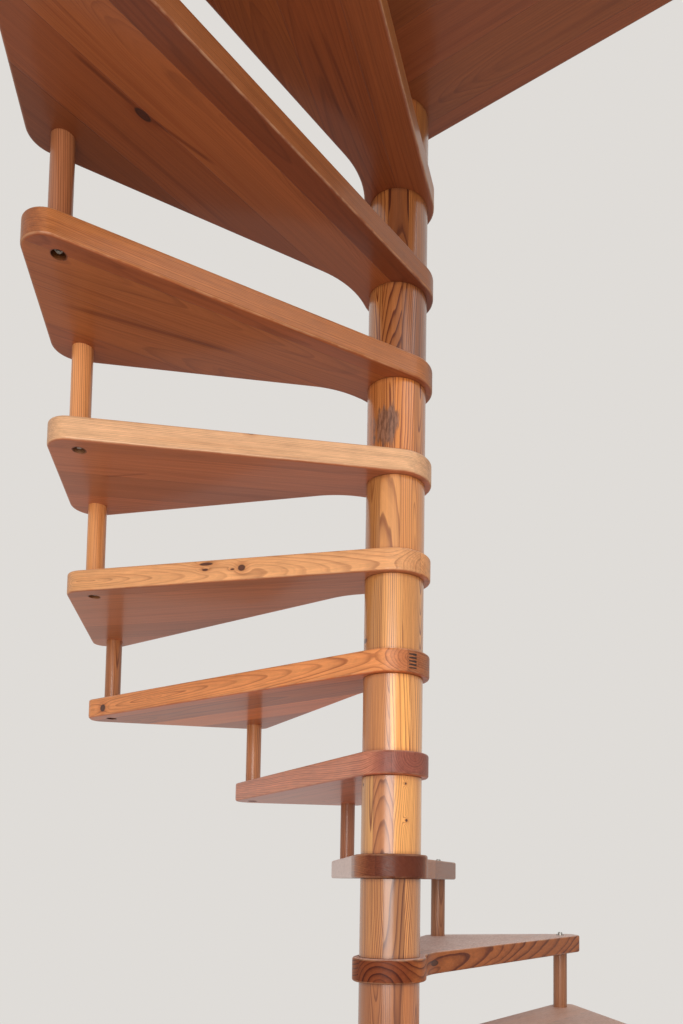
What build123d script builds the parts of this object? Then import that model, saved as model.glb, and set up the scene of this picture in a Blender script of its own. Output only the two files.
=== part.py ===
from build123d import *
from math import asin, atan2, cos, degrees, hypot, radians, sin, sqrt
import os

os.makedirs("parts", exist_ok=True)

# Overall: a square spiral stair, origin on the column axis at floor level, entry and exit on the -Y side
plan_side = 1400
rise = 210
step_angle = 22.5
start_angle = -90
tread_count = 15
landing_steps = 3

# Treads and landing
tread_thickness = 49
hub_diameter = 154
rear_margin = 42
nose_margin = 48
nose_axis_offset = 10
nose_fillet = 190
corner_radius = 48
tight_corner_radius = 28
clipped_reach = 100
edge_round = 5

# Column
column_diameter = 126
spacer_edge = 1
tube_diameter = 42
tube_wall = 4
running_gap = 0.3

# Outer dowels and the bolts through them
dowel_diameter = 40
dowel_inset = 60
bolt_diameter = 8
bolt_gap = 0.5
counterbore_diameter = 25
counterbore_depth = 16
bolt_washer_diameter = 22
bolt_washer_thickness = 2
bolt_nut_flats = 13
bolt_nut_height = 6.5
bolt_end = 3
cap_flange_thickness = 2
cap_dome_diameter = 14
cap_height = 9
cap_bore_depth = 6
floor_bolt_grip = 100

# Foot plate
plate_diameter = 280
plate_thickness = 8
anchor_circle = 220
anchor_hole = 13
anchor_count = 4
plate_edge = 1

# Column head
head_washer_diameter = 100
head_washer_thickness = 6
head_nut_flats = 60
head_nut_height = 20
head_tube_end = 4
cap_diameter = column_diameter
cap_wall = 10
cap_top = 12
cap_pocket_gap = 4
cap_round = 6

half_side = plan_side / 2
hub_radius = hub_diameter / 2
dowel_line = half_side - dowel_inset
free_height = rise - tread_thickness
landing_top = (tread_count + 1) * rise
head_nut_base = landing_top + head_washer_thickness
tube_top = head_nut_base + head_nut_height + head_tube_end
cap_pocket = tube_top - landing_top + cap_pocket_gap


def nose_angle(number):
    return start_angle + step_angle * (number - 1)


def rear_angle(number):
    if number > tread_count:
        return nose_angle(number) + step_angle * landing_steps
    return start_angle + step_angle * number


def polar(radius, angle):
    return (radius * cos(radians(angle)), radius * sin(radians(angle)))


def dowel_reach(angle):
    return dowel_line / max(abs(cos(radians(angle))), abs(sin(radians(angle))))


def dowel_point(angle):
    return polar(dowel_reach(angle), angle)


def leave_square(base, angle):
    """Point where a line from base runs out through the side of the plan."""
    along = polar(1, angle)
    steps = []
    for axis in (0, 1):
        if abs(along[axis]) > 1e-9:
            side = half_side if along[axis] > 0 else -half_side
            steps.append((side - base[axis]) / along[axis])
    reach = min(steps)
    return (base[0] + along[0] * reach, base[1] + along[1] * reach)


def plan_corners(nose_end, rear_end):
    """Corners of the plan passed between the two edges of a tread, rear edge first."""
    first = degrees(atan2(nose_end[1], nose_end[0]))
    last = first + (degrees(atan2(rear_end[1], rear_end[0])) - first) % 360
    found = []
    for turn in range(-4, 8):
        angle = 45 + 90 * turn
        if first < angle < last:
            found.insert(0, polar(half_side * sqrt(2), angle))
    return found


def near(shape, point):
    """Upright edge or vertex of the sketch nearest to a plan point."""
    return shape.vertices().sort_by_distance((point[0], point[1], 0))[0]


def tread_board(number):
    """One tread or the landing: wedge to the square plan, round hub, hollowed nosing."""
    nose = nose_angle(number)
    rear = rear_angle(number)
    rear_way = rear - degrees(asin((hub_radius - rear_margin) / dowel_reach(rear)))
    nose_way = nose - degrees(asin((nose_margin - nose_axis_offset) / dowel_reach(nose)))
    rear_base = polar(hub_radius, rear_way + 90)
    nose_base = polar(nose_axis_offset, nose_way - 90)
    rear_end = leave_square(rear_base, rear_way)
    nose_end = leave_square(nose_base, nose_way)
    hub_step = polar(sqrt(hub_radius**2 - nose_axis_offset**2), nose_way)
    hub_corner = (nose_base[0] + hub_step[0], nose_base[1] + hub_step[1])
    corners = plan_corners(nose_end, rear_end)
    underside = number * rise - tread_thickness
    with BuildPart() as board:
        with BuildSketch(Plane.XY.offset(underside)) as outline:
            with BuildLine():
                Polyline([(0, 0), rear_base, rear_end, *corners, nose_end, hub_corner, (0, 0)])
            make_face()
            Circle(hub_radius)
            fillet(near(outline, hub_corner), nose_fillet)
            for point in [rear_end, *corners, nose_end]:
                clipped = any(hypot(point[0] - c[0], point[1] - c[1]) < clipped_reach for c in corners)
                fillet(near(outline, point), tight_corner_radius if clipped else corner_radius)
        extrude(amount=tread_thickness)
        fillet(board.edges().group_by(Axis.Z)[0] + board.edges().group_by(Axis.Z)[-1], edge_round)
        with BuildSketch(Plane.XY.offset(underside)):
            Circle(tube_diameter / 2 + running_gap)
            with Locations(dowel_point(nose)):
                Circle(bolt_diameter / 2 + bolt_gap)
            if number <= tread_count:
                with Locations(dowel_point(rear)):
                    Circle(bolt_diameter / 2 + bolt_gap)
        extrude(amount=tread_thickness, mode=Mode.SUBTRACT)
        if number <= tread_count:
            with BuildSketch(Plane.XY.offset(underside)):
                with Locations(dowel_point(rear)):
                    Circle(counterbore_diameter / 2)
            extrude(amount=counterbore_depth, mode=Mode.SUBTRACT)
    return board.part


def spacer(number):
    """Turned column block under a tread; the lowest one stands on the foot plate."""
    base = plate_thickness if number == 1 else (number - 1) * rise
    height = number * rise - tread_thickness - base
    with BuildPart() as block:
        with BuildSketch(Plane.XY.offset(base)):
            Circle(column_diameter / 2)
        extrude(amount=height)
        chamfer(block.edges().filter_by(GeomType.CIRCLE), spacer_edge)
        with BuildSketch(Plane.XY.offset(base)):
            Circle(tube_diameter / 2 + running_gap)
        extrude(amount=height, mode=Mode.SUBTRACT)
    return block.part


def all_dowels():
    """Outer dowels, each from the rear corner of one tread to the nosing of the next."""
    with BuildPart() as dowels:
        for number in range(1, tread_count + 2):
            with BuildSketch(Plane.XY.offset((number - 1) * rise)):
                with Locations(dowel_point(nose_angle(number))):
                    Circle(dowel_diameter / 2)
                    Circle(bolt_diameter / 2 + bolt_gap, mode=Mode.SUBTRACT)
            extrude(amount=free_height)
    return dowels.part


def all_tie_bolts():
    """Bolts through tread, dowel and next tread, with nut and washer in the counterbore."""
    washer_base = counterbore_depth - bolt_washer_thickness
    nut_base = washer_base - bolt_nut_height
    with BuildPart() as bolts:
        for number in range(1, tread_count + 2):
            spot = dowel_point(nose_angle(number))
            top = number * rise + cap_bore_depth
            lower_underside = (number - 1) * rise - tread_thickness
            if number == 1:
                bottom = number * rise - floor_bolt_grip
            else:
                bottom = lower_underside + nut_base - bolt_end
                with BuildSketch(Plane.XY.offset(lower_underside + washer_base)):
                    with Locations(spot):
                        Circle(bolt_washer_diameter / 2)
                extrude(amount=bolt_washer_thickness)
                with BuildSketch(Plane.XY.offset(lower_underside + nut_base)):
                    with Locations(spot):
                        RegularPolygon(bolt_nut_flats / 2, 6, major_radius=False)
                extrude(amount=bolt_nut_height)
            with BuildSketch(Plane.XY.offset(bottom)):
                with Locations(spot):
                    Circle(bolt_diameter / 2)
            extrude(amount=top - bottom)
    return bolts.part


def all_cap_nuts():
    """Domed nuts on the nosings."""
    with BuildPart() as caps:
        for number in range(1, tread_count + 2):
            spot = dowel_point(nose_angle(number))
            with BuildSketch(Plane.XY.offset(number * rise)):
                with Locations(spot):
                    Circle(bolt_washer_diameter / 2)
                    Circle(bolt_diameter / 2 + running_gap, mode=Mode.SUBTRACT)
            extrude(amount=cap_flange_thickness)
            with BuildSketch(Plane.XY.offset(number * rise + cap_flange_thickness)):
                with Locations(spot):
                    Circle(cap_dome_diameter / 2)
                    Circle(bolt_diameter / 2 + running_gap, mode=Mode.SUBTRACT)
            extrude(amount=cap_bore_depth - cap_flange_thickness)
            with BuildSketch(Plane.XY.offset(number * rise + cap_bore_depth)):
                with Locations(spot):
                    Circle(cap_dome_diameter / 2)
            extrude(amount=cap_height - cap_bore_depth, taper=35)
    return caps.part


def foot_plate():
    """Round steel plate bolted to the floor under the column."""
    with BuildPart() as plate:
        with BuildSketch():
            Circle(plate_diameter / 2)
        extrude(amount=plate_thickness)
        chamfer(plate.edges().filter_by(GeomType.CIRCLE).group_by(Axis.Z)[-1], plate_edge)
        with BuildSketch():
            with PolarLocations(anchor_circle / 2, anchor_count, start_angle=45):
                Circle(anchor_hole / 2)
        extrude(amount=plate_thickness, mode=Mode.SUBTRACT)
    return plate.part


def column_tube():
    """Steel tube threaded through every spacer and tread."""
    with BuildPart() as tube:
        with BuildSketch(Plane.XY.offset(plate_thickness)):
            Circle(tube_diameter / 2)
            Circle(tube_diameter / 2 - tube_wall, mode=Mode.SUBTRACT)
        extrude(amount=tube_top - plate_thickness)
    return tube.part


def head_washer():
    with BuildPart() as washer:
        with BuildSketch(Plane.XY.offset(landing_top)):
            Circle(head_washer_diameter / 2)
            Circle(tube_diameter / 2 + running_gap, mode=Mode.SUBTRACT)
        extrude(amount=head_washer_thickness)
    return washer.part


def head_nut():
    with BuildPart() as nut:
        with BuildSketch(Plane.XY.offset(head_nut_base)):
            RegularPolygon(head_nut_flats / 2, 6, major_radius=False)
            Circle(tube_diameter / 2 + running_gap, mode=Mode.SUBTRACT)
        extrude(amount=head_nut_height)
    return nut.part


def head_cap():
    """Turned wooden cap over the nut at the head of the column."""
    with BuildPart() as cap:
        with BuildSketch(Plane.XY.offset(landing_top)):
            Circle(cap_diameter / 2)
        extrude(amount=cap_pocket + cap_top)
        fillet(cap.edges().filter_by(GeomType.CIRCLE).group_by(Axis.Z)[-1], cap_round)
        with BuildSketch(Plane.XY.offset(landing_top)):
            Circle(cap_diameter / 2 - cap_wall)
        extrude(amount=cap_pocket, mode=Mode.SUBTRACT)
    return cap.part


def save(part, label):
    part.label = label
    export_step(part, f"parts/{label}.step")


save(foot_plate(), "foot_plate")
save(column_tube(), "column_tube")
for count in range(1, tread_count + 2):
    save(spacer(count), f"spacer_{count:02d}")
for count in range(1, tread_count + 1):
    save(tread_board(count), f"tread_{count:02d}")
save(tread_board(tread_count + 1), "landing")
save(all_dowels(), "dowels")
save(all_tie_bolts(), "tie_bolts")
save(all_cap_nuts(), "cap_nuts")
save(head_washer(), "head_washer")
save(head_nut(), "head_nut")
save(head_cap(), "head_cap")
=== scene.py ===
"""Looks of a square spiral staircase of oiled and varnished pine.

Glued treads, turned column blocks and dowels, zinc-plated bolts and a steel foot plate, in a pale studio.
"""
import math

import bpy
from mathutils import Euler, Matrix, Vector

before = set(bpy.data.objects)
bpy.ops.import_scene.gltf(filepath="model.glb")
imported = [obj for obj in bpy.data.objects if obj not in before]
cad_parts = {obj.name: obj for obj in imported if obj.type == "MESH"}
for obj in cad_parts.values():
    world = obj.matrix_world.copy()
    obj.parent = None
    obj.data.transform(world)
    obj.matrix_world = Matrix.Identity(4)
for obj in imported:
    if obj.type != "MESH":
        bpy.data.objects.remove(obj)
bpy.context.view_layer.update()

# Stair, as in the frame (metres, degrees)
RISE = 0.21
STEP_ANGLE = 22.5
START_ANGLE = -90.0
TREADS = 15
LANDING_STEPS = 3
THICKNESS = 0.049
HUB_RADIUS = 0.077
REAR_MARGIN = 0.042
DOWEL_LINE = 0.64


# Shader helpers
class Value:
    """Output of a shader node, so that node sums can be written as sums."""

    def __init__(self, graph, socket):
        self.graph = graph
        self.socket = socket

    def __add__(self, other):
        return self.graph.math("ADD", self, other)

    def __radd__(self, other):
        return self.graph.math("ADD", other, self)

    def __sub__(self, other):
        return self.graph.math("SUBTRACT", self, other)

    def __rsub__(self, other):
        return self.graph.math("SUBTRACT", other, self)

    def __mul__(self, other):
        return self.graph.math("MULTIPLY", self, other)

    def __rmul__(self, other):
        return self.graph.math("MULTIPLY", other, self)

    def __truediv__(self, other):
        return self.graph.math("DIVIDE", self, other)


class Graph:
    """Adds nodes to one shader tree; each call returns the new node's output."""

    def __init__(self, tree):
        self.tree = tree

    def add(self, kind, inputs=None, out=0, **settings):
        node = self.tree.nodes.new(kind)
        for key, value in settings.items():
            setattr(node, key, value)
        for key, value in (inputs or {}).items():
            self.feed(node.inputs[key], value)
        return Value(self, node.outputs[out])

    def feed(self, socket, value):
        if isinstance(value, Value):
            self.tree.links.new(value.socket, socket)
        elif isinstance(value, tuple) and len(value) == 3 and socket.type == "RGBA":
            socket.default_value = (*value, 1.0)
        else:
            socket.default_value = value

    def math(self, operation, a, b=0.0, c=0.0):
        return self.add("ShaderNodeMath", {0: a, 1: b, 2: c}, operation=operation)

    def absolute(self, value):
        return self.math("ABSOLUTE", value)

    def hypot(self, a, b):
        return self.math("SQRT", a * a + b * b)

    def length(self, vector):
        return self.add("ShaderNodeVectorMath", {0: vector}, out="Value", operation="LENGTH")

    def smooth(self, value, low, high, start=0.0, end=1.0):
        """Soft step from start, where the value is low, to end, where it is high."""
        return self.add("ShaderNodeMapRange", {"Value": value, 1: low, 2: high, 3: start, 4: end},
                        interpolation_type="SMOOTHSTEP")

    def split(self, vector):
        node = self.tree.nodes.new("ShaderNodeSeparateXYZ")
        self.feed(node.inputs[0], vector)
        return [Value(self, socket) for socket in node.outputs]

    def join(self, x, y, z):
        return self.add("ShaderNodeCombineXYZ", {0: x, 1: y, 2: z})

    def turned(self, vector, angle, shift=(0.0, 0.0, 0.0)):
        return self.add("ShaderNodeMapping",
                        {"Vector": vector, "Location": shift, "Rotation": (0.0, 0.0, angle)})

    def times(self, colour, other):
        return self.add("ShaderNodeVectorMath", {0: colour, 1: other}, operation="MULTIPLY")

    def scale(self, colour, factor):
        return self.add("ShaderNodeVectorMath", {0: colour, "Scale": factor}, operation="SCALE")

    def mix(self, factor, a, b):
        return self.add("ShaderNodeMix", {0: factor, 6: a, 7: b}, out=2, data_type="RGBA", clamp_factor=True)

    def tint(self, factor, colour, tint):
        """The colour, as far as the factor says multiplied by the tint."""
        return self.mix(factor, colour, self.times(colour, tint))

    def vary(self, colour, noise, spread):
        """The colour, darker where the noise is low and lighter where it is high."""
        return self.scale(colour, 1.0 - spread / 2 + spread * noise)

    def noise(self, vector, detail=2.0, rough=0.5, scale=1.0, out=0):
        return self.add("ShaderNodeTexNoise",
                        {"Vector": vector, "Scale": scale, "Detail": detail, "Roughness": rough}, out=out)

    def white(self, x, y, z):
        return self.split(self.add("ShaderNodeTexWhiteNoise", {"Vector": self.join(x, y, z)}, out=1))

    def ramp(self, value, stops):
        node = self.tree.nodes.new("ShaderNodeValToRGB")
        self.feed(node.inputs[0], value)
        elements = node.color_ramp.elements
        while len(elements) > 1:
            elements.remove(elements[0])
        elements[0].position = stops[0][0]
        elements[0].color = (stops[0][1],) * 3 + (1.0,)
        for place, level in stops[1:]:
            elements.new(place).color = (level,) * 3 + (1.0,)
        return Value(self, node.outputs[0])

    def bump(self, height, strength, distance):
        return self.add("ShaderNodeBump", {"Strength": strength, "Distance": distance, "Height": height})


def new_group(name, inputs, outputs):
    """Empty node group: its tree, its graph, its inputs by name and its output node."""
    tree = bpy.data.node_groups.new(name, "ShaderNodeTree")
    for direction, sockets in (("INPUT", inputs), ("OUTPUT", outputs)):
        for label, kind in sockets.items():
            tree.interface.new_socket(name=label, in_out=direction, socket_type=kind)
    graph = Graph(tree)
    entry = tree.nodes.new("NodeGroupInput")
    end = tree.nodes.new("NodeGroupOutput")
    return tree, graph, {label: Value(graph, entry.outputs[label]) for label in inputs}, end


def new_material(name):
    """Empty material, its graph and its shader."""
    material = bpy.data.materials.new(name)
    material.use_nodes = True
    tree = material.node_tree
    return material, Graph(tree), tree.nodes["Principled BSDF"]


# Solid pine. Noise frequencies are per metre, and x runs along the grain
FLOAT, VECTOR, COLOUR = "NodeSocketFloat", "NodeSocketVector", "NodeSocketColor"
PINE_INPUTS = {
    "Position": VECTOR, "Along": VECTOR, "Seed": FLOAT, "Board": FLOAT, "Joint": FLOAT, "Ring": FLOAT,
    "Early": COLOUR, "Late": COLOUR, "Contrast": FLOAT, "Knots": FLOAT, "Spot": FLOAT, "End grain": FLOAT,
    "Variety": FLOAT, "Pith": VECTOR, "Lean": VECTOR, "First tint": COLOUR, "Streak": FLOAT,
}
PINE_OUTPUTS = {"Colour": COLOUR, "Height": FLOAT, "Gloss loss": FLOAT}

EARLY_WOOD = (0.700, 0.320, 0.120)
LATE_WOOD = (0.215, 0.058, 0.017)
RING_PROFILE = [(0.0, 0.05), (0.42, 0.10), (0.70, 0.42), (0.87, 1.0), (0.95, 0.85), (1.0, 0.05)]
KNOT_HEART = (0.150, 0.044, 0.017)
KNOT_RING = (0.052, 0.014, 0.008)
KNOT_RIM = (0.030, 0.012, 0.007)

# Tints, by which a colour is multiplied
NO_TINT = (1.0, 1.0, 1.0)
RED_BOARD = (0.74, 0.60, 0.62)
YELLOW_BOARD = (1.05, 1.02, 0.88)
DARK_STREAK = (0.72, 0.60, 0.50)
RESIN = (0.42, 0.27, 0.20)
PORE = (0.62, 0.48, 0.40)
KNOT_HALO = (0.66, 0.48, 0.36)
STAINED_END = (0.40, 0.27, 0.29)
GLUE = (0.45, 0.34, 0.30)

# Knots of chance: cells per metre, smallest radius and its spread; in knot radii, a distance that shows none
KNOT_CELLS = 4.2
KNOT_RADIUS = 0.004
KNOT_SPREAD = 0.007
NO_KNOT = 50.0
NO_SPOT = 9.0

# How far the growth rings stray: over the whole board, over a hand's width, and round a knot
RING_WOBBLE = 0.012
RING_WAVER = 0.0014
RING_SWELL = 0.007


def stray_knots(g, x, y, index, seed, share):
    """Distance to the nearest knot of chance, in knot radii. These knots run from face to face."""
    cells = g.tree.nodes.new("ShaderNodeTexVoronoi")
    cells.voronoi_dimensions = "2D"
    g.feed(cells.inputs["Vector"], g.join(x * 0.8 + seed * 3.1, y + index * 5.3, 0.0))
    cells.inputs["Scale"].default_value = KNOT_CELLS
    far = Value(g, cells.outputs["Distance"]) / KNOT_CELLS
    chance, size, _ = g.split(Value(g, cells.outputs["Color"]))
    return far / (KNOT_RADIUS + KNOT_SPREAD * size) + g.math("GREATER_THAN", chance, share) * NO_KNOT


def solid_pine():
    """Glued pine boards as a solid: growth rings round a pith for each board, fibres, knots and joints."""
    tree, g, given, end = new_group("solid_pine", PINE_INPUTS, PINE_OUTPUTS)
    x, y, z = g.split(given["Position"])
    seed, board, variety = given["Seed"], given["Board"], given["Variety"]

    # Boards lie side by side along y. Each has its own draws, by its index; the last number tells draws apart
    across = (y - given["Joint"]) / board
    index = g.math("FLOOR", across)
    in_board = (across - index - 0.5) * board
    tone, side, face = g.white(index, seed, 1.7)
    lean_y, lean_z, hue = g.white(index, seed, 9.2)
    pace, warm, _ = g.white(index, seed, 4.4)

    # The first board (index 0) may have its pith stated: y, z, and 1 in the third place
    own_y, own_z, stated = g.split(given["Pith"])
    own_lean_y, own_lean_z, _ = g.split(given["Lean"])
    first = g.math("COMPARE", index, 0.0, 0.25)
    own = first * stated

    def pick(drawn, own_value):
        return drawn + (own_value - drawn) * own

    # Growth rings round a pith that leans and wanders along the board; round a knot they swell
    near = g.math("MINIMUM", stray_knots(g, x, y, index, seed, given["Knots"]), given["Spot"])
    swell = g.math("EXPONENT", near * near * -0.14) * RING_SWELL
    drift_y, drift_z, _ = g.split(g.noise(g.join(x * 1.3 + index * 7.7, seed * 5.1, index), 1.0, out=1))
    pith_y = index * board + given["Joint"] + board * 0.5 + (side - 0.5) * board * 1.5
    pith_z = (0.022 + 0.075 * face) * (g.math("GREATER_THAN", pace, 0.5) * 2.0 - 1.0)
    wander = 0.05 - own * 0.03
    off_y = y - pick(pith_y, own_y) - pick((lean_y - 0.5) * 0.05, own_lean_y) * x - (drift_y - 0.5) * wander
    off_z = z - pick(pith_z, own_z) - pick((lean_z - 0.5) * 0.075, own_lean_z) * x - (drift_z - 0.5) * wander
    wobble = g.noise(g.join(x * 2.4, y * 13.0 + index, z * 13.0 + seed))
    waver = g.noise(g.join(x * 11.0, y * 70.0, z * 70.0), 1.0)
    radius = g.hypot(off_y, off_z) + (wobble - 0.5) * RING_WOBBLE + (waver - 0.5) * RING_WAVER
    turns = (radius + swell) / (given["Ring"] * (0.65 + 0.8 * warm))
    turns = turns + (g.noise(g.join(turns * 0.31, seed, index), 1.0) - 0.5) * 2.2
    strength = g.white(g.math("FLOOR", turns), index, seed)[0]
    late = g.ramp(g.math("FRACT", turns), RING_PROFILE) * (0.45 + 0.55 * strength) * given["Contrast"]

    # Colour: rings, the board's own hue and tone, streaks, fibres, resin and pores
    colour = g.mix(late, given["Early"], given["Late"])
    colour = g.vary(colour, g.noise(g.join(turns * 5.0, x * 1.2, index), 2.0, 0.6), 0.28)
    colour = g.tint(g.smooth(hue, 0.66, 0.80) * variety, colour, RED_BOARD)
    colour = g.tint(g.smooth(hue, 0.34, 0.12) * variety, colour, YELLOW_BOARD)
    colour = g.scale(colour, 1.0 + (tone - 0.5) * 0.5 * (0.3 + variety))
    colour = g.tint(first, colour, given["First tint"])
    streak = g.noise(g.join(x * 1.5 + seed, y * 42.0 + index * 3.0, z * 42.0), 2.0, 0.6)
    colour = g.tint(g.smooth(streak, 0.50, 0.74) * 0.55, colour, DARK_STREAK)
    cloud = g.noise(g.join(x * 2.2, y * 5.0, z * 5.0 + seed), 2.0, 0.55)
    strand = g.noise(g.join(x * 4.5, y * 190.0, z * 190.0 + seed), 2.0, 0.6)
    fibre = g.noise(g.join(x * 14.0, y * 620.0, z * 620.0), 2.0, 0.6)
    for texture, spread in ((cloud, 0.28), (strand, 0.40), (fibre, 0.32)):
        colour = g.vary(colour, texture, spread)
    colour = g.tint(given["Streak"] * (0.55 + 0.6 * strand), colour, RESIN)
    pores = g.noise(g.join(x * 70.0, y * 1500.0, z * 1500.0 + seed), 1.0)
    colour = g.tint(g.smooth(pores, 0.66, 0.78) * 0.35, colour, PORE)

    # Knots: a halo, a dark heart with rings round it, and a nearly black rim
    heart = g.mix(g.noise(g.join(near * 3.2, seed, index), 1.0, scale=2.0), KNOT_HEART, KNOT_RING)
    inside = g.smooth(near, 1.12, 0.82)
    rim = g.smooth(near, 0.70, 0.95) * g.smooth(near, 1.30, 1.0)
    colour = g.tint(g.smooth(near, 3.2, 0.9) * 0.55, colour, KNOT_HALO)
    colour = g.mix(inside, colour, heart)
    colour = g.mix(rim * 0.7, colour, KNOT_RIM)

    # End grain drinks the stain; glue lines show as thin dark lines
    end_grain = g.smooth(g.absolute(g.split(given["Along"])[0]), 0.28, 0.80)
    colour = g.tint(end_grain * given["End grain"], colour, STAINED_END)
    joint = g.smooth(g.absolute(g.absolute(in_board) - board * 0.5), 0.0009, 0.0002)
    colour = g.tint(joint * 0.45, colour, GLUE)

    results = {
        "Colour": colour,
        "Height": fibre * 0.35 + late * 0.30 - joint * 0.8 - inside * 0.25,
        "Gloss loss": end_grain * 0.10 + fibre * 0.10 + late * -0.04 + cloud * 0.12,
    }
    for label, value in results.items():
        g.feed(end.inputs[label], value)
    return tree


PINE = solid_pine()

# A range goes from where an effect has nothing yet to where it has all. Here it is how far up a face looks
UNDERSIDE = (-0.35, -0.85)
TRODDEN = (0.55, 0.95)
BARE_ROUGH = 0.34


def tinted(colour, tint):
    return tuple(c * t for c, t in zip(colour, tint))


def spot_distance(g, local, spots):
    """Distance to the nearest stated knot, in knot radii.

    A knot is the axis that it runs along (y or z), its x and its other coordinate, its radius and its stretch
    along the grain. A last number is the y where it ends.
    """
    x, y, z = g.split(local)
    nearest = None
    for axis, first, second, radius, stretch, *end in spots:
        other = y if axis == "z" else z
        beyond = g.math("MAXIMUM", end[0] - y, 0.0) if end else 0.0
        distance = g.length(g.join((x - first) / stretch, other - second, beyond)) / radius
        nearest = distance if nearest is None else g.math("MINIMUM", nearest, distance)
    return nearest


def streak_mask(g, local, streaks):
    """Resin streaks from one plan point of the board to another: x, y, x, y, half width, strength."""
    mask = None
    for x0, y0, x1, y1, width, strength in streaks:
        turn = -math.atan2(y1 - y0, x1 - x0)
        middle = Vector(((x0 + x1) / 2, (y0 + y1) / 2, 0.0))
        middle.rotate(Euler((0.0, 0.0, turn)))
        x, y, _ = g.split(g.turned(local, turn, (-middle.x, -middle.y, 0.0)))
        taper = math.hypot(x1 - x0, y1 - y0) / 4
        over = g.math("MAXIMUM", g.absolute(x) - taper, 0.0) * (width / taper)
        streak = g.smooth(g.length(g.join(over, y, 0.0)), width, width * 0.1) * strength
        mask = streak if mask is None else g.math("MAXIMUM", mask, streak)
    return mask


def pine_material(name, position, along, seed, board, joint, tint=NO_TINT, first_tint=NO_TINT, variety=0.5,
                  ring=0.0034, contrast=1.0, under_contrast=1.0, end_grain=0.9, pith=None, lean=(0.0, 0.0),
                  knots=0.0, spots=(), streaks=(), specular=0.30, coat=0.3, top_coat=0.05, coat_rough=0.16,
                  coat_ior=1.48, after=None):
    """Varnished pine. position and along turn the frame's coordinates and normal into the board's.

    seed is a number, or a function of the graph and the frame's coordinates. after is a function that wears,
    soils or stains the wood, or paints shade on it: it takes and returns its colour, height and roughness.
    """
    material, g, principled = new_material(name)
    place = g.add("ShaderNodeTexCoord", out="Object")
    normal = g.add("ShaderNodeNewGeometry", out="Normal")
    local, way = position(g, place), along(g, normal)
    up = g.split(normal)[2]
    if under_contrast != 1.0:
        contrast = contrast * (1.0 - g.smooth(up, *UNDERSIDE) * (1.0 - under_contrast))
    settings = {
        "Position": local, "Along": way, "Seed": seed(g, place) if callable(seed) else seed,
        "Board": board, "Joint": joint, "Ring": ring, "Contrast": contrast, "Variety": variety,
        "Early": tinted(EARLY_WOOD, tint), "Late": tinted(LATE_WOOD, tint), "First tint": first_tint,
        "Knots": knots, "Spot": spot_distance(g, local, spots) if spots else NO_SPOT, "End grain": end_grain,
    }
    if streaks:
        settings["Streak"] = streak_mask(g, local, streaks) * g.smooth(up, 0.6, -0.2)
    if pith:
        settings["Pith"] = (*pith, 1.0)
        settings["Lean"] = (*lean, 0.0)
    group = g.tree.nodes.new("ShaderNodeGroup")
    group.node_tree = PINE
    for key, value in settings.items():
        g.feed(group.inputs[key], value)
    colour = Value(g, group.outputs["Colour"])
    height = Value(g, group.outputs["Height"])
    rough = Value(g, group.outputs["Gloss loss"]) + BARE_ROUGH
    if after:
        colour, height, rough = after(g, place, up, local, colour, height, rough)

    # Varnish: it sinks into the pores of end grain, and is worn and dull where the wood is trodden
    pores = g.smooth(g.noise(place, 3.0, 0.7, scale=240.0), 0.30, 0.70)
    open_pores = g.smooth(g.absolute(g.split(way)[0]), 0.25, 0.70) * pores
    trodden = g.smooth(up, *TRODDEN)
    ripple = g.noise(g.times(local, (9.0, 34.0, 34.0)))
    g.feed(principled.inputs["Base Color"], colour)
    g.feed(principled.inputs["Roughness"], rough)
    g.feed(principled.inputs["Normal"], g.bump(height, 0.6, 0.0007))
    principled.inputs["Specular IOR Level"].default_value = specular
    g.feed(principled.inputs["Coat Weight"], coat - open_pores * (coat * 0.35) + trodden * (top_coat - coat))
    g.feed(principled.inputs["Coat Roughness"], open_pores * 0.24 + trodden * 0.30 + coat_rough)
    g.feed(principled.inputs["Coat Normal"], g.bump(ripple, 0.30, 0.0010))
    principled.inputs["Coat IOR"].default_value = coat_ior
    return material


def dress(node, material):
    """Gives a frame node this material in all its slots."""
    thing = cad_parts[node]
    if not thing.material_slots:
        thing.data.materials.append(material)
    for slot in thing.material_slots:
        slot.material = material


# Treads: tints, then colours laid over the wood
UNFADED_AND_SHADED_UNDERSIDE = (0.62, 0.42, 0.40)
# Undersides: redder, partly unfaded wood and partly painted shade
DIRT = (0.62, 0.56, 0.55)
# Painted shade inside the counterbores
BORE_SHADE = (0.26, 0.17, 0.14)
HUB_STAIN = (0.60, 0.45, 0.45)
DUST = (0.66, 0.45, 0.34)
# Pale dust, its paleness partly a painted sheen of the varnish
PALE_DUST_AND_SHEEN = (0.88, 0.64, 0.57)
# Pale edge colour: partly rubbed wear, partly a painted highlight
RUBBED_AND_LIT_EDGE = (0.78, 0.47, 0.27)
FINGER_GLUE = (0.032, 0.012, 0.008)

# Ranges, by the distance from the axis, from the counterbore's centre or across the boards
WALKED = (0.10, 0.34)
HUB_RIM = (0.092, 0.078)
BORE_RIM = (0.0152, 0.0128)
REAR_START = (0.080, 0.110)
REAR_FACE = (0.060, 0.074)

# How far the rounded edges are paled, partly rubbed wear and partly a painted highlight, and the width of a
# finger joint's tooth
EDGE_WEAR_AND_HIGHLIGHT = 0.45
TOOTH = 0.0036


def dowel_reach(turn):
    """Distance from the axis to the square line of the dowels, in the direction turn (radians)."""
    return DOWEL_LINE / max(abs(math.cos(turn)), abs(math.sin(turn)))


def rear_way(number):
    """Direction of a tread's rear edge, which its boards follow, in radians."""
    steps = number - 1 + LANDING_STEPS if number > TREADS else number
    turn = math.radians(START_ANGLE + STEP_ANGLE * steps)
    return turn - math.asin((HUB_RADIUS - REAR_MARGIN) / dowel_reach(turn))


def dowel_point(number):
    """Plan point of the dowel over a tread's rear corner."""
    turn = math.radians(START_ANGLE + STEP_ANGLE * number)
    return dowel_reach(turn) * math.cos(turn), dowel_reach(turn) * math.sin(turn)


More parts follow.
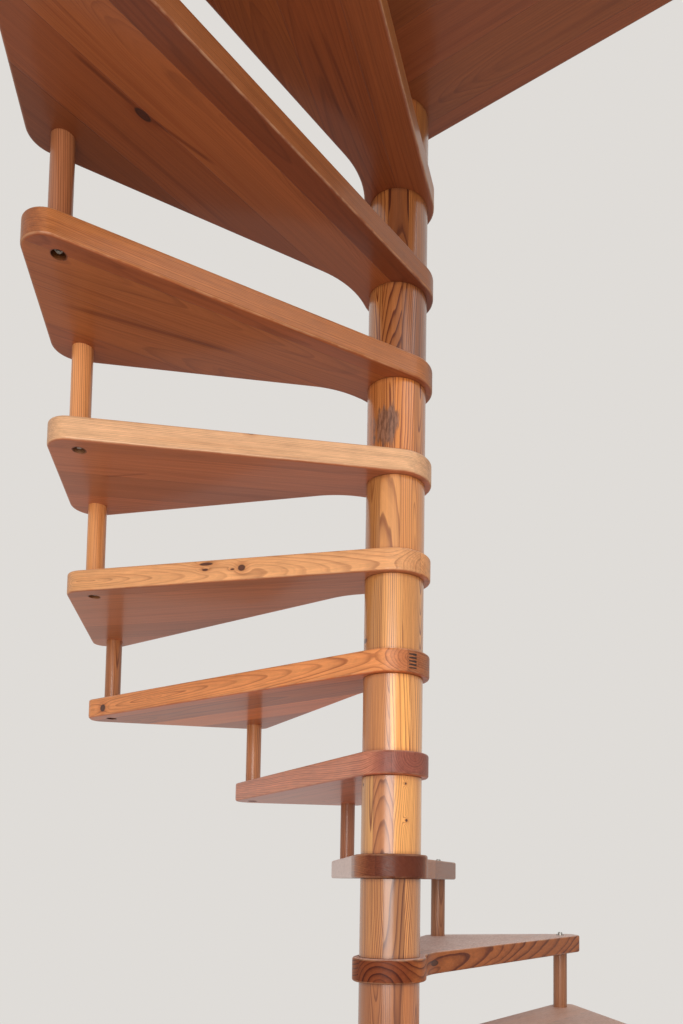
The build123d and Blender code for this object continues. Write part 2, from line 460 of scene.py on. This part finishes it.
def finger_joint(g, local, end_x, middle_y):
    """Dark teeth of the glued joint of a lengthened board, seen on the round of the hub."""
    x, y, z = g.split(local)
    teeth = g.math("PINGPONG", z + 0.0010, TOOTH) / TOOTH + (y - middle_y) * 18.0
    across = g.smooth(g.absolute(y - middle_y), 0.0095, 0.0078)
    within = g.smooth(g.absolute(z - 0.0015), 0.0185, 0.0170) * g.smooth(x, end_x + 0.004, end_x - 0.004)
    return g.smooth(teeth, 0.66, 0.40) * across * within


def tread_finish(number, dust, dust_and_sheen_tint=DUST, rear_dust=0.0, underside_fade_and_shade=UNFADED_AND_SHADED_UNDERSIDE, hub=0.0, fingers=None):
    """Redder undersides, partly unfaded wood and partly painted shade; worn and dusty tops, the pale dust
    partly a painted sheen; pale edges, partly rubbed and partly a painted highlight; painted shade in the
    counterbores.
    """
    bore_x, bore_y = dowel_point(number)

    def finish(g, place, up, local, colour, height, rough):
        x, y, z = g.split(local)
        plan_x, plan_y, _ = g.split(place)
        from_axis = g.hypot(plan_x, plan_y)
        level = g.absolute(up)
        scuffs = g.noise(g.times(local, (6.0, 14.0, 14.0)), 5.0, 0.7)
        fine = g.noise(g.join(x * 40.0, y * 210.0, 0.0), 4.0, 0.65)
        specks = g.noise(g.join(x * 60.0, y * 130.0, 3.0), 4.0, 0.7)
        patchy = g.smooth(g.noise(place, 3.0, 0.6, scale=26.0), 0.35, 0.62)
        handled = g.noise(g.times(local, (22.0, 120.0, 120.0)), 4.0, 0.7)

        # Underside: redder, partly unfaded wood and partly painted shade
        below = g.smooth(up, *UNDERSIDE)
        colour = g.tint(below, colour, underside_fade_and_shade)
        rough = rough + below * 0.05

        # Top: dust, least of it round the column, and dark specks of dirt. A pale dust tint is partly a
        # painted sheen
        top = g.smooth(up, *TRODDEN)
        grey = (g.smooth(scuffs, 0.25, 0.75) * 0.30 + g.smooth(fine, 0.35, 0.75) * 0.34 + 0.32) * dust
        grey = grey * (0.72 + 0.28 * g.smooth(from_axis, *WALKED))
        colour = g.mix(top * grey, colour, dust_and_sheen_tint)
        rough = rough + top * grey * 0.35
        colour = g.tint(top * g.smooth(specks, 0.52, 0.72) * dust * 0.40, colour, DIRT)

        # Rounded edges, pale in patches: partly rubbed wear, partly a painted highlight on the arrises
        rubbed_and_lit = g.smooth(level, 0.12, 0.45) * g.smooth(level, 0.97, 0.70) * patchy
        colour = g.mix(rubbed_and_lit * EDGE_WEAR_AND_HIGHLIGHT, colour, g.mix(0.55, colour, RUBBED_AND_LIT_EDGE))
        rough = rough + rubbed_and_lit * 0.06

        # Side faces, mottled by hands, and dusty at the rear
        sides = g.smooth(level, 0.70, 0.20)
        colour = g.scale(colour, 1.0 + sides * (handled - 0.5) * 0.60)
        rough = rough + sides * (handled - 0.5) * 0.30
        if rear_dust:
            settled = g.smooth(y, *REAR_FACE) * g.smooth(from_axis, *REAR_START) * (0.5 + handled)
            colour = g.mix(settled * rear_dust, colour, PALE_DUST_AND_SHEEN)

        # Painted shade in the counterbore, hub and finger joint
        from_bore = g.hypot(plan_x - bore_x, plan_y - bore_y) + (patchy - 0.5) * 0.0012 + (fine - 0.5) * 0.002
        bore = g.smooth(from_bore, *BORE_RIM) * g.smooth(z, 0.0, -0.006)
        colour = g.tint(bore * 0.85, colour, BORE_SHADE)
        if hub:
            colour = g.tint(g.smooth(from_axis, *HUB_RIM) * hub, colour, HUB_STAIN)
        if fingers:
            colour = g.mix(finger_joint(g, local, *fingers), colour, FINGER_GLUE)
        return colour, height, rough

    return finish


# Tread numbers to looks. Pith, knots (spots) and resin streaks are placed in the board's own metres
FINISHES = ("dust", "dust_and_sheen_tint", "rear_dust", "underside_fade_and_shade", "hub", "fingers")
TREAD_LOOK = dict(board=0.105, joint=0.040, variety=0.45, under_contrast=0.5)
TREAD_LOOKS = {
    1: dict(tint=(0.74, 0.66, 0.64), dust=0.62, knots=0.25),
    2: dict(tint=(0.80, 0.74, 0.70), dust=0.58, knots=0.25),
    3: dict(tint=(0.76, 0.68, 0.66), dust=0.58, knots=0.25),
    4: dict(tint=(0.82, 0.74, 0.66), dust=0.55, knots=0.25),
    5: dict(tint=(0.74, 0.67, 0.62), dust=0.62, knots=0.25),
    # Treads 6 and 7: the pale dust on their tops is partly a painted sheen of the varnish
    6: dict(tint=(0.80, 0.76, 0.76), dust=0.92, dust_and_sheen_tint=PALE_DUST_AND_SHEEN,
            coat=0.45, top_coat=0.45, coat_rough=0.24),
    7: dict(tint=(0.70, 0.47, 0.36), contrast=1.25, ring=0.0092, board=0.6, joint=-0.55, variety=0.10,
            pith=(-0.020, -0.021), lean=(-0.262, 0.085), spots=(("y", 0.136, 0.000, 0.0056, 2.8),),
            dust=1.00, dust_and_sheen_tint=(1.0, 0.80, 0.73), hub=0.05,
            specular=0.12, coat=0.15, top_coat=0.55, coat_rough=0.24),
    8: dict(tint=(0.62, 0.50, 0.52), end_grain=0.95, dust=0.70, rear_dust=0.85, hub=0.30,
            specular=0.10, coat=0.35),
    9: dict(tint=(1.22, 1.13, 1.80), contrast=0.8, end_grain=0.95, pith=(0.02, -0.06), lean=(0.02, 0.03),
            dust=0.65, underside_fade_and_shade=(0.80, 0.50, 0.35), hub=0.30),
    10: dict(tint=(1.18, 1.04, 0.92), contrast=0.72, ring=0.0046, end_grain=0.6,
             pith=(0.040, 0.004), lean=(0.055, -0.010), spots=(("y", 0.885, -0.005, 0.0085, 1.1, 0.055),),
             dust=0.55, underside_fade_and_shade=(0.80, 0.54, 0.45), fingers=(-0.050, 0.029)),
    11: dict(tint=(1.32, 1.38, 1.55), contrast=0.54, ring=0.0042, end_grain=0.22,
             pith=(0.020, -0.016), lean=(0.085, 0.022),
             spots=(("y", 0.316, 0.002, 0.0062, 1.2, 0.05), ("y", 0.337, 0.0, 0.0017, 2.4, 0.05),
                    ("y", 0.398, 0.0155, 0.0030, 4.6, 0.05), ("y", 0.400, 0.003, 0.0024, 2.6, 0.05)),
             dust=0.50),
    12: dict(tint=(1.16, 1.46, 2.10), contrast=0.60, ring=0.0028, end_grain=0.22,
             pith=(0.060, -0.14), lean=(0.0, 0.02), spots=(("y", 0.305, 0.026, 0.0045, 1.6, 0.066),),
             streaks=((0.623, -0.076, 0.507, -0.036, 0.006, 0.5),), dust=0.45, underside_fade_and_shade=(0.62, 0.34, 0.27)),
    # Treads 13 to 15 and the landing (16): their darker tints are partly painted shade from the storey above
    13: dict(tint=(0.88, 0.76, 0.60), first_tint=(0.80, 0.70, 0.72), contrast=0.80, ring=0.0026,
             end_grain=0.5, pith=(0.050, -0.16), lean=(0.01, 0.02),
             streaks=((0.694, -0.098, 0.317, -0.055, 0.012, 0.80),), dust=0.45, underside_fade_and_shade=(0.80, 0.58, 0.56)),
    14: dict(tint=(0.72, 0.62, 0.48), first_tint=(0.84, 0.74, 0.74), contrast=0.65, ring=0.0026, joint=0.025,
             pith=(0.050, -0.16), spots=(("z", 0.604, -0.088, 0.0066, 2.1),),
             streaks=((0.743, -0.088, 0.610, -0.086, 0.006, 0.8), (0.610, -0.086, 0.459, -0.061, 0.006, 0.8)),
             dust=0.45),
    15: dict(tint=(0.60, 0.48, 0.33), first_tint=(1.25, 1.30, 1.40), contrast=0.65, ring=0.0026, joint=0.010,
             streaks=((0.435, -0.063, 0.221, -0.052, 0.005, 0.6), (0.430, -0.038, 0.215, -0.024, 0.005, 0.6)),
             dust=0.45),
    16: dict(tint=(0.70, 0.60, 0.48), contrast=0.65, ring=0.0030, dust=0.45),
}


def tread_material(number):
    look = {**TREAD_LOOK, **TREAD_LOOKS[number]}
    finishes = {key: look.pop(key) for key in FINISHES if key in look}
    turn = -rear_way(number)
    middle = number * RISE - THICKNESS / 2
    return pine_material(
        f"pine_tread_{number:02d}",
        lambda g, place: g.turned(place, turn, (0.0, 0.0, -middle)),
        lambda g, normal: g.turned(normal, turn),
        seed=3.7 + number * 1.61, after=tread_finish(number, **finishes), **look)


for number in range(1, TREADS + 2):
    dress("landing" if number > TREADS else f"tread_{number:02d}", tread_material(number))


# Column blocks, glued from staves. In rises: the middle's depth under the tread's top, the height of the
# painted shade where the hubs meet a block
STAVE = 0.043
BLOCK_MIDDLE = 0.62
FOOT_SHADE_BAND = (0.045, 0.0)
TOP_SHADE_BAND = (0.715, 0.765)
HUB_CONTACT_SHADE = (0.50, 0.38, 0.34)
BARK = (0.270, 0.125, 0.075)
BARK_DEPTH = (0.092, 0.038, 0.024)

# Column block numbers to looks. The middle stave (index 0) may have its own tint and pith
BLOCK_LOOK = dict(board=STAVE, joint=-STAVE / 2, ring=0.0032, variety=0.8,
                  coat=1.0, coat_rough=0.25, coat_ior=1.58, specular=0.15)
PLAIN_BLOCK = dict(tint=(0.94, 0.89, 0.82), contrast=1.2)
BLOCK_LOOKS = {
    7: dict(tint=(0.90, 0.80, 0.66), contrast=0.9, ring=0.0024, seed=5.3,
            pith=(0.020, -0.130), lean=(0.0, 0.01)),
    8: dict(tint=(0.90, 0.84, 0.74), first_tint=(0.92, 0.84, 0.82), contrast=1.7),
    9: dict(tint=(1.16, 1.22, 1.08), first_tint=(0.68, 0.62, 0.62), contrast=1.05,
            pith=(0.004, -0.030), lean=(0.015, 0.060),
            spots=(("z", 0.064, -0.050, 0.0016, 1.5), ("z", 0.064, 0.043, 0.0014, 1.5),
                   ("z", -0.011, 0.045, 0.0017, 1.6))),
    10: dict(tint=(1.16, 1.18, 0.98), first_tint=(1.10, 1.12, 1.05), contrast=1.2,
             pith=(0.020, -0.015), lean=(0.02, -0.03)),
    11: dict(tint=(1.14, 1.12, 0.94), first_tint=(1.24, 1.28, 1.26), contrast=1.4,
             spots=(("z", -0.053, -0.058, 0.0035, 1.3),)),
    12: dict(tint=(0.88, 0.80, 0.68), first_tint=(1.28, 1.34, 1.36), contrast=0.85,
             pith=(-0.004, -0.020), lean=(0.0, 0.05)),
    13: dict(tint=(0.74, 0.60, 0.44), first_tint=(1.16, 1.12, 1.00), contrast=1.6, ring=0.0028,
             pith=(0.030, -0.010), lean=(0.02, 0.01), patch=(-0.022, -0.036, 0.046, 0.023)),
    14: dict(tint=(0.76, 0.66, 0.52), first_tint=(1.12, 1.06, 0.95), contrast=1.6,
             pith=(0.008, -0.020), lean=(0.01, 0.04)),
    # Block 15: its dark tint is painted shade from the storey above
    15: dict(tint=(0.42, 0.32, 0.22), contrast=1.4),
    16: dict(tint=(0.60, 0.50, 0.36), contrast=1.2),
}


def upright_grain(angle=0.0, middle=0.0):
    """Grain along the column: x runs up from the height middle, y and z across."""

    def place(g, vector):
        x, y, z = g.split(g.turned(vector, angle, (0.0, 0.0, -middle)))
        return g.join(z, x, y)

    return place


def block_finish(patch):
    """Painted shade darkens both ends of a block, where the treads' hubs meet it.

    patch is a ragged bark pocket on one face: its middle (x, y), half its length and half its width.
    """

    def finish(g, place, up, local, colour, height, rough):
        level = g.math("FRACT", g.split(place)[2] / RISE)
        ends = g.smooth(level, *FOOT_SHADE_BAND) + g.smooth(level, *TOP_SHADE_BAND)
        # Painted shade at both ends of the block
        colour = g.tint(ends * 0.50, colour, HUB_CONTACT_SHADE)
        if patch:
            middle_x, middle_y, half_length, half_width = patch
            x, y, z = g.split(local)
            edge = g.noise(g.join(x * 26.0, y * 110.0, z * 110.0), 3.0, 0.6)
            far = g.hypot((x - middle_x) / half_length, (y - middle_y) / half_width) + (edge - 0.5) * 1.7
            bark = g.smooth(far, 1.10, 0.72) * g.smooth(z, 0.0, -0.01)
            depth = g.smooth(g.noise(g.join(x * 40.0, y * 160.0, z * 160.0), 3.0, 0.6), 0.35, 0.65)
            colour = g.mix(bark * 0.88, colour, g.mix(depth, BARK, BARK_DEPTH))
            rough = rough + bark * 0.10
            height = height - bark * 0.5
        return colour, height, rough

    return finish


def block_material(number):
    look = {**BLOCK_LOOK, "seed": 21.3 + number * 2.37, **BLOCK_LOOKS.get(number, PLAIN_BLOCK)}
    finish = block_finish(look.pop("patch", None))
    spin = math.radians(11.0 + 17.0 * math.sin(number * 2.3))
    middle = (number - BLOCK_MIDDLE) * RISE
    return pine_material(f"pine_block_{number:02d}", upright_grain(spin, middle), upright_grain(spin),
                         after=finish, **look)


for number in range(1, TREADS + 2):
    dress(f"spacer_{number:02d}", block_material(number))

CAP_GRAIN = upright_grain(math.radians(20.0))
dress("head_cap", pine_material("pine_head_cap", CAP_GRAIN, CAP_GRAIN, seed=91.0, board=0.3, joint=0.15,
                                tint=(0.90, 0.86, 0.80), coat=0.7))


# Dowels, each cut from one board, so that no glue line shows: tints, and the heights from which they hold
GREYED = (0.68, 0.67, 0.84)
GREYED_BELOW = (2.30, 1.75)
# Upper dowels: redder wood and painted shade
RED_AND_SHADED_DOWEL = (0.50, 0.42, 0.46)
RED_AND_SHADED_ABOVE = (2.69, 2.72)


def dowel_seed(g, place):
    """Other wood for each dowel, by its storey."""
    return g.math("FLOOR", g.split(place)[2] / RISE) * 1.37 + 4.0


def dowel_finish(g, place, up, local, colour, height, rough):
    """The lower dowels have greyed, the upper ones are cut from redder wood and darkened with painted shade.
    """
    level = g.split(place)[2]
    colour = g.tint(g.smooth(level, *GREYED_BELOW), colour, GREYED)
    # Painted shade on the upper dowels
    colour = g.tint(g.smooth(level, *RED_AND_SHADED_ABOVE), colour, RED_AND_SHADED_DOWEL)
    return colour, height, rough


dress("dowels", pine_material("pine_dowels", upright_grain(), upright_grain(), seed=dowel_seed, board=12.0,
                              joint=-6.0, tint=(0.98, 0.92, 0.90), ring=0.0030, contrast=0.9, coat=0.4,
                              after=dowel_finish))


# Metal
def metal_material(name, colour, dark, rough, scale):
    """Zinc-plated or bare steel with crystals, rubbed places and faint tarnish."""
    material, g, principled = new_material(name)
    place = g.add("ShaderNodeTexCoord", out="Object")
    tarnish = g.noise(place, 4.0, 0.6, scale=scale)
    crystals = g.noise(place, 2.0, 0.5, scale=scale * 14.0)
    level = g.smooth(tarnish, 0.38, 0.70) * 0.75 + g.smooth(crystals, 0.45, 0.75) * 0.20
    g.feed(principled.inputs["Base Color"], g.mix(level, colour, dark))
    g.feed(principled.inputs["Roughness"], level * 0.25 + rough)
    g.feed(principled.inputs["Normal"], g.bump(crystals + tarnish, 0.35, 0.0003))
    principled.inputs["Metallic"].default_value = 1.0
    return material


ZINC = metal_material("zinc_steel", colour=(0.44, 0.43, 0.41), dark=(0.21, 0.20, 0.18),
                      rough=0.30, scale=60.0)
PLATE_STEEL = metal_material("plate_steel", colour=(0.34, 0.33, 0.32), dark=(0.17, 0.15, 0.135),
                             rough=0.36, scale=22.0)
for node in ("tie_bolts", "cap_nuts", "head_washer", "head_nut"):
    dress(node, ZINC)
for node in ("foot_plate", "column_tube"):
    dress(node, PLATE_STEEL)


# Floor, background, light and camera. The floor melts into the backdrop from the first radius to the second
FLOOR_HALF = 14.0
FLOOR_COLOURS = (0.74, 0.72, 0.69), (0.78, 0.76, 0.73)
MELTING = (0.9, 3.2)
MELTED_AT_FOOT = 0.42
BACKDROP = (0.74, 0.715, 0.685)
WORLD_COLOUR = (1.0, 0.97, 0.93)
WORLD_STRENGTH = 0.38


def sees_backdrop(g):
    """1 for a ray that shows the backdrop, 0 for one that only lights the stair."""
    path = g.tree.nodes.new("ShaderNodeLightPath")
    seen = Value(g, path.outputs["Is Camera Ray"])
    for ray in ("Is Glossy Ray", "Is Transmission Ray"):
        seen = g.math("MAXIMUM", seen, Value(g, path.outputs[ray]))
    return seen


def blend_shaders(g, factor, first, second, surface):
    blend = g.tree.nodes.new("ShaderNodeMixShader")
    g.feed(blend.inputs[0], factor)
    g.tree.links.new(first.outputs[0], blend.inputs[1])
    g.tree.links.new(second.outputs[0], blend.inputs[2])
    g.tree.links.new(blend.outputs[0], surface)


def make_floor():
    """Pale floor that keeps the shadow and melts into the background further out."""
    low, high = -FLOOR_HALF, FLOOR_HALF
    mesh = bpy.data.meshes.new("floor")
    mesh.from_pydata([(low, low, 0), (high, low, 0), (high, high, 0), (low, high, 0)], [], [(0, 1, 2, 3)])
    thing = bpy.data.objects.new("floor", mesh)
    bpy.context.scene.collection.objects.link(thing)
    material, g, principled = new_material("floor_pale")
    place = g.add("ShaderNodeTexCoord", out="Object")
    g.feed(principled.inputs["Base Color"], g.mix(g.noise(place, 3.0, scale=1.5), *FLOOR_COLOURS))
    principled.inputs["Roughness"].default_value = 0.9
    principled.inputs["Specular IOR Level"].default_value = 0.1
    glow = g.tree.nodes.new("ShaderNodeEmission")
    glow.inputs["Color"].default_value = (*BACKDROP, 1.0)
    melted = g.smooth(g.length(place), *MELTING, MELTED_AT_FOOT, 1.0) * sees_backdrop(g)
    blend_shaders(g, melted, principled, glow, g.tree.nodes["Material Output"].inputs["Surface"])
    mesh.materials.append(material)


def make_world():
    world = bpy.data.worlds.new("studio")
    bpy.context.scene.world = world
    world.use_nodes = True
    g = Graph(world.node_tree)
    background = g.tree.nodes["Background"]
    background.inputs["Color"].default_value = (*WORLD_COLOUR, 1.0)
    background.inputs["Strength"].default_value = WORLD_STRENGTH
    shown = g.tree.nodes.new("ShaderNodeBackground")
    shown.inputs["Color"].default_value = (*BACKDROP, 1.0)
    shown.inputs["Strength"].default_value = 1.0
    blend_shaders(g, sees_backdrop(g), background, shown, g.tree.nodes["World Output"].inputs["Surface"])


def area_light(name, place, target, width, height, power, colour):
    data = bpy.data.lights.new(name, "AREA")
    data.shape = "RECTANGLE"
    data.size, data.size_y = width, height
    data.energy = power
    data.color = colour
    thing = bpy.data.objects.new(name, data)
    thing.location = place
    thing.rotation_euler = (Vector(target) - Vector(place)).to_track_quat("-Z", "Y").to_euler()
    bpy.context.scene.collection.objects.link(thing)


def make_camera():
    """The photo's camera, fitted to the treads' corners, hubs and dowels."""
    data = bpy.data.cameras.new("camera")
    data.sensor_width = 36.0
    data.lens = 29.994
    data.shift_x = -0.0795
    data.shift_y = 0.30
    thing = bpy.data.objects.new("camera", data)
    thing.location = (-0.3427, -1.7493, 1.6275)
    thing.rotation_euler = Euler([math.radians(angle) for angle in (94.109, -0.579, -13.254)], "XYZ")
    bpy.context.scene.collection.objects.link(thing)
    bpy.context.scene.camera = thing


make_floor()
make_world()
area_light("window", place=(-1.25, -3.87, 2.1), target=(0.0, 0.0, 2.0), width=2.5, height=2.2, power=112.0,
           colour=(1.0, 0.965, 0.92))
area_light("fill", place=(1.4, -2.0, 5.2), target=(0.0, 0.0, 1.8), width=2.6, height=2.6, power=38.0,
           colour=(0.97, 0.985, 1.0))
make_camera()
bpy.context.scene.view_settings.view_transform = "Standard"
